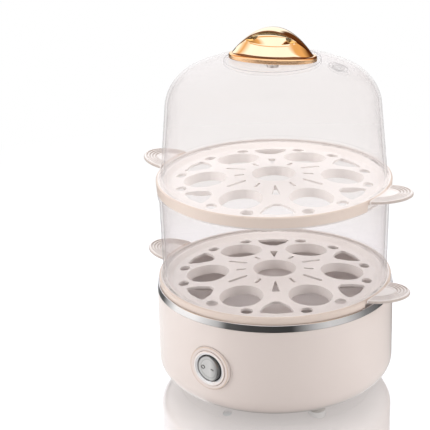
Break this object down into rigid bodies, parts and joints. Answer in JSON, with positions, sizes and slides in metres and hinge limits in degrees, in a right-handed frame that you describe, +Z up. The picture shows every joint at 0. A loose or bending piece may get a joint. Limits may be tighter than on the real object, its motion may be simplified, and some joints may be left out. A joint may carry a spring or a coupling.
{
  "type": "electric egg boiler",
  "caption": "Tabletop electric egg boiler and steamer: round heated base with a rocker switch, stacked perforated egg trays with ear handles, clear tier wall and domed clear lid.",
  "frame": {"origin": "centre of the footprint on the table, at the underside of the feet", "axes": "+Z up, -Y towards the rocker switch at the front, +Y towards the cord inlet at the back, the handles of the trays close to X"},
  "size_m": [0.2084, 0.1749, 0.261],
  "materials": {
    "clear_polymer": "clear, slightly milky, glossy",
    "cream_plastic": "cream white, satin gloss",
    "cream_housing": "cream white, glossy",
    "gold_metal": "polished gold",
    "stainless_steel": "drawn stainless sheet",
    "screw_steel": "zinc-plated",
    "cast_aluminium": "as cast, machined on top",
    "element_steel": "dark sheathed",
    "galvanised_sheet": "galvanised",
    "brass_contact": "bright",
    "ceramic": null,
    "black_phenolic": "black, matt",
    "silver_bezel": "pale silver, glossy",
    "rocker_silver": "silver grey, glossy",
    "mark_paint": "dark raised marks",
    "dark_rubber": "moulded, matt",
    "silicone_seal": "translucent white silicone",
    "wire_brown": "brown wire sleeve",
    "wire_blue": "blue wire sleeve",
    "wire_green": "green and yellow wire sleeve",
    "wire_white": "white braided glass sleeve"
  },
  "bodies": {
    "base": {"base_housing": "cream_housing", "bottom_cover": "cream_housing", "cover_screws": "screw_steel", "rubber_feet": "dark_rubber", "water_pan": "stainless_steel", "pan_seal": "silicone_seal", "heat_plate": "cast_aluminium", "heating_element": "element_steel", "element_insulators": "ceramic", "element_terminals": "screw_steel", "heat_shield": "galvanised_sheet", "pan_studs": "screw_steel", "shield_nuts": "screw_steel", "thermostat_cap": "cast_aluminium", "thermostat_body": "black_phenolic", "thermostat_blades": "brass_contact", "thermostat_clip": "galvanised_sheet", "clip_spacers": "screw_steel", "clip_screws": "screw_steel", "thermal_fuse": "brass_contact", "fuse_strap": "galvanised_sheet", "switch_escutcheon": "cream_housing", "switch_bezel": "silver_bezel", "rocker_pivot_pin": "screw_steel", "switch_body": "black_phenolic", "switch_terminals": "brass_contact", "cord_inlet_bush": "dark_rubber", "cord_clamp": "black_phenolic", "clamp_screws": "screw_steel", "terminal_block": "black_phenolic", "block_screws": "screw_steel", "earth_lug": "brass_contact", "earth_screw": "screw_steel", "live_wire": "wire_brown", "switched_wire": "wire_brown", "neutral_wire": "wire_blue", "earth_wire": "wire_green", "heater_wire": "wire_white", "fused_wire": "wire_white"},
    "lid": {"lid_dome": "clear_polymer", "knob_base": "gold_metal", "knob_handle": "gold_metal", "knob_washer": "silicone_seal", "knob_screw": "screw_steel"},
    "upper_tray": {"upper_egg_tray": "cream_plastic"},
    "clear_tier": {"tier_wall": "clear_polymer"},
    "lower_tray": {"lower_egg_tray": "cream_plastic"},
    "rocker": {"switch_rocker": "rocker_silver", "rocker_marks": "mark_paint", "rocker_plunger": "screw_steel"},
    "seesaw": {"contact_seesaw": "brass_contact"}
  },
  "joints": [
    {"name": "lower_tray_lift", "type": "slide", "parent": "base", "child": "lower_tray", "axis": [0, 0, 1], "range_m": [0, 0.05]},
    {"name": "clear_tier_lift", "type": "slide", "parent": "lower_tray", "child": "clear_tier", "axis": [0, 0, 1], "range_m": [0, 0.08]},
    {"name": "upper_tray_lift", "type": "slide", "parent": "clear_tier", "child": "upper_tray", "axis": [0, 0, 1], "range_m": [0, 0.05]},
    {"name": "lid_lift", "type": "slide", "parent": "upper_tray", "child": "lid", "axis": [0, 0, 1], "range_m": [0, 0.1]},
    {"name": "rocker_tilt", "type": "hinge", "parent": "base", "child": "rocker", "pos_m": [0, -0.082, 0.0406], "axis": [0, 0, 1], "range_deg": [0, 16]},
    {"name": "contact_tilt", "type": "hinge", "parent": "base", "child": "seesaw", "pos_m": [0, -0.0685, 0.0406], "axis": [0, 0, 1], "range_deg": [-10, 0]}
  ],
  "couplings": [
    {"joint": "contact_tilt", "follows": "rocker_tilt", "ratio": -0.625}
  ]
}
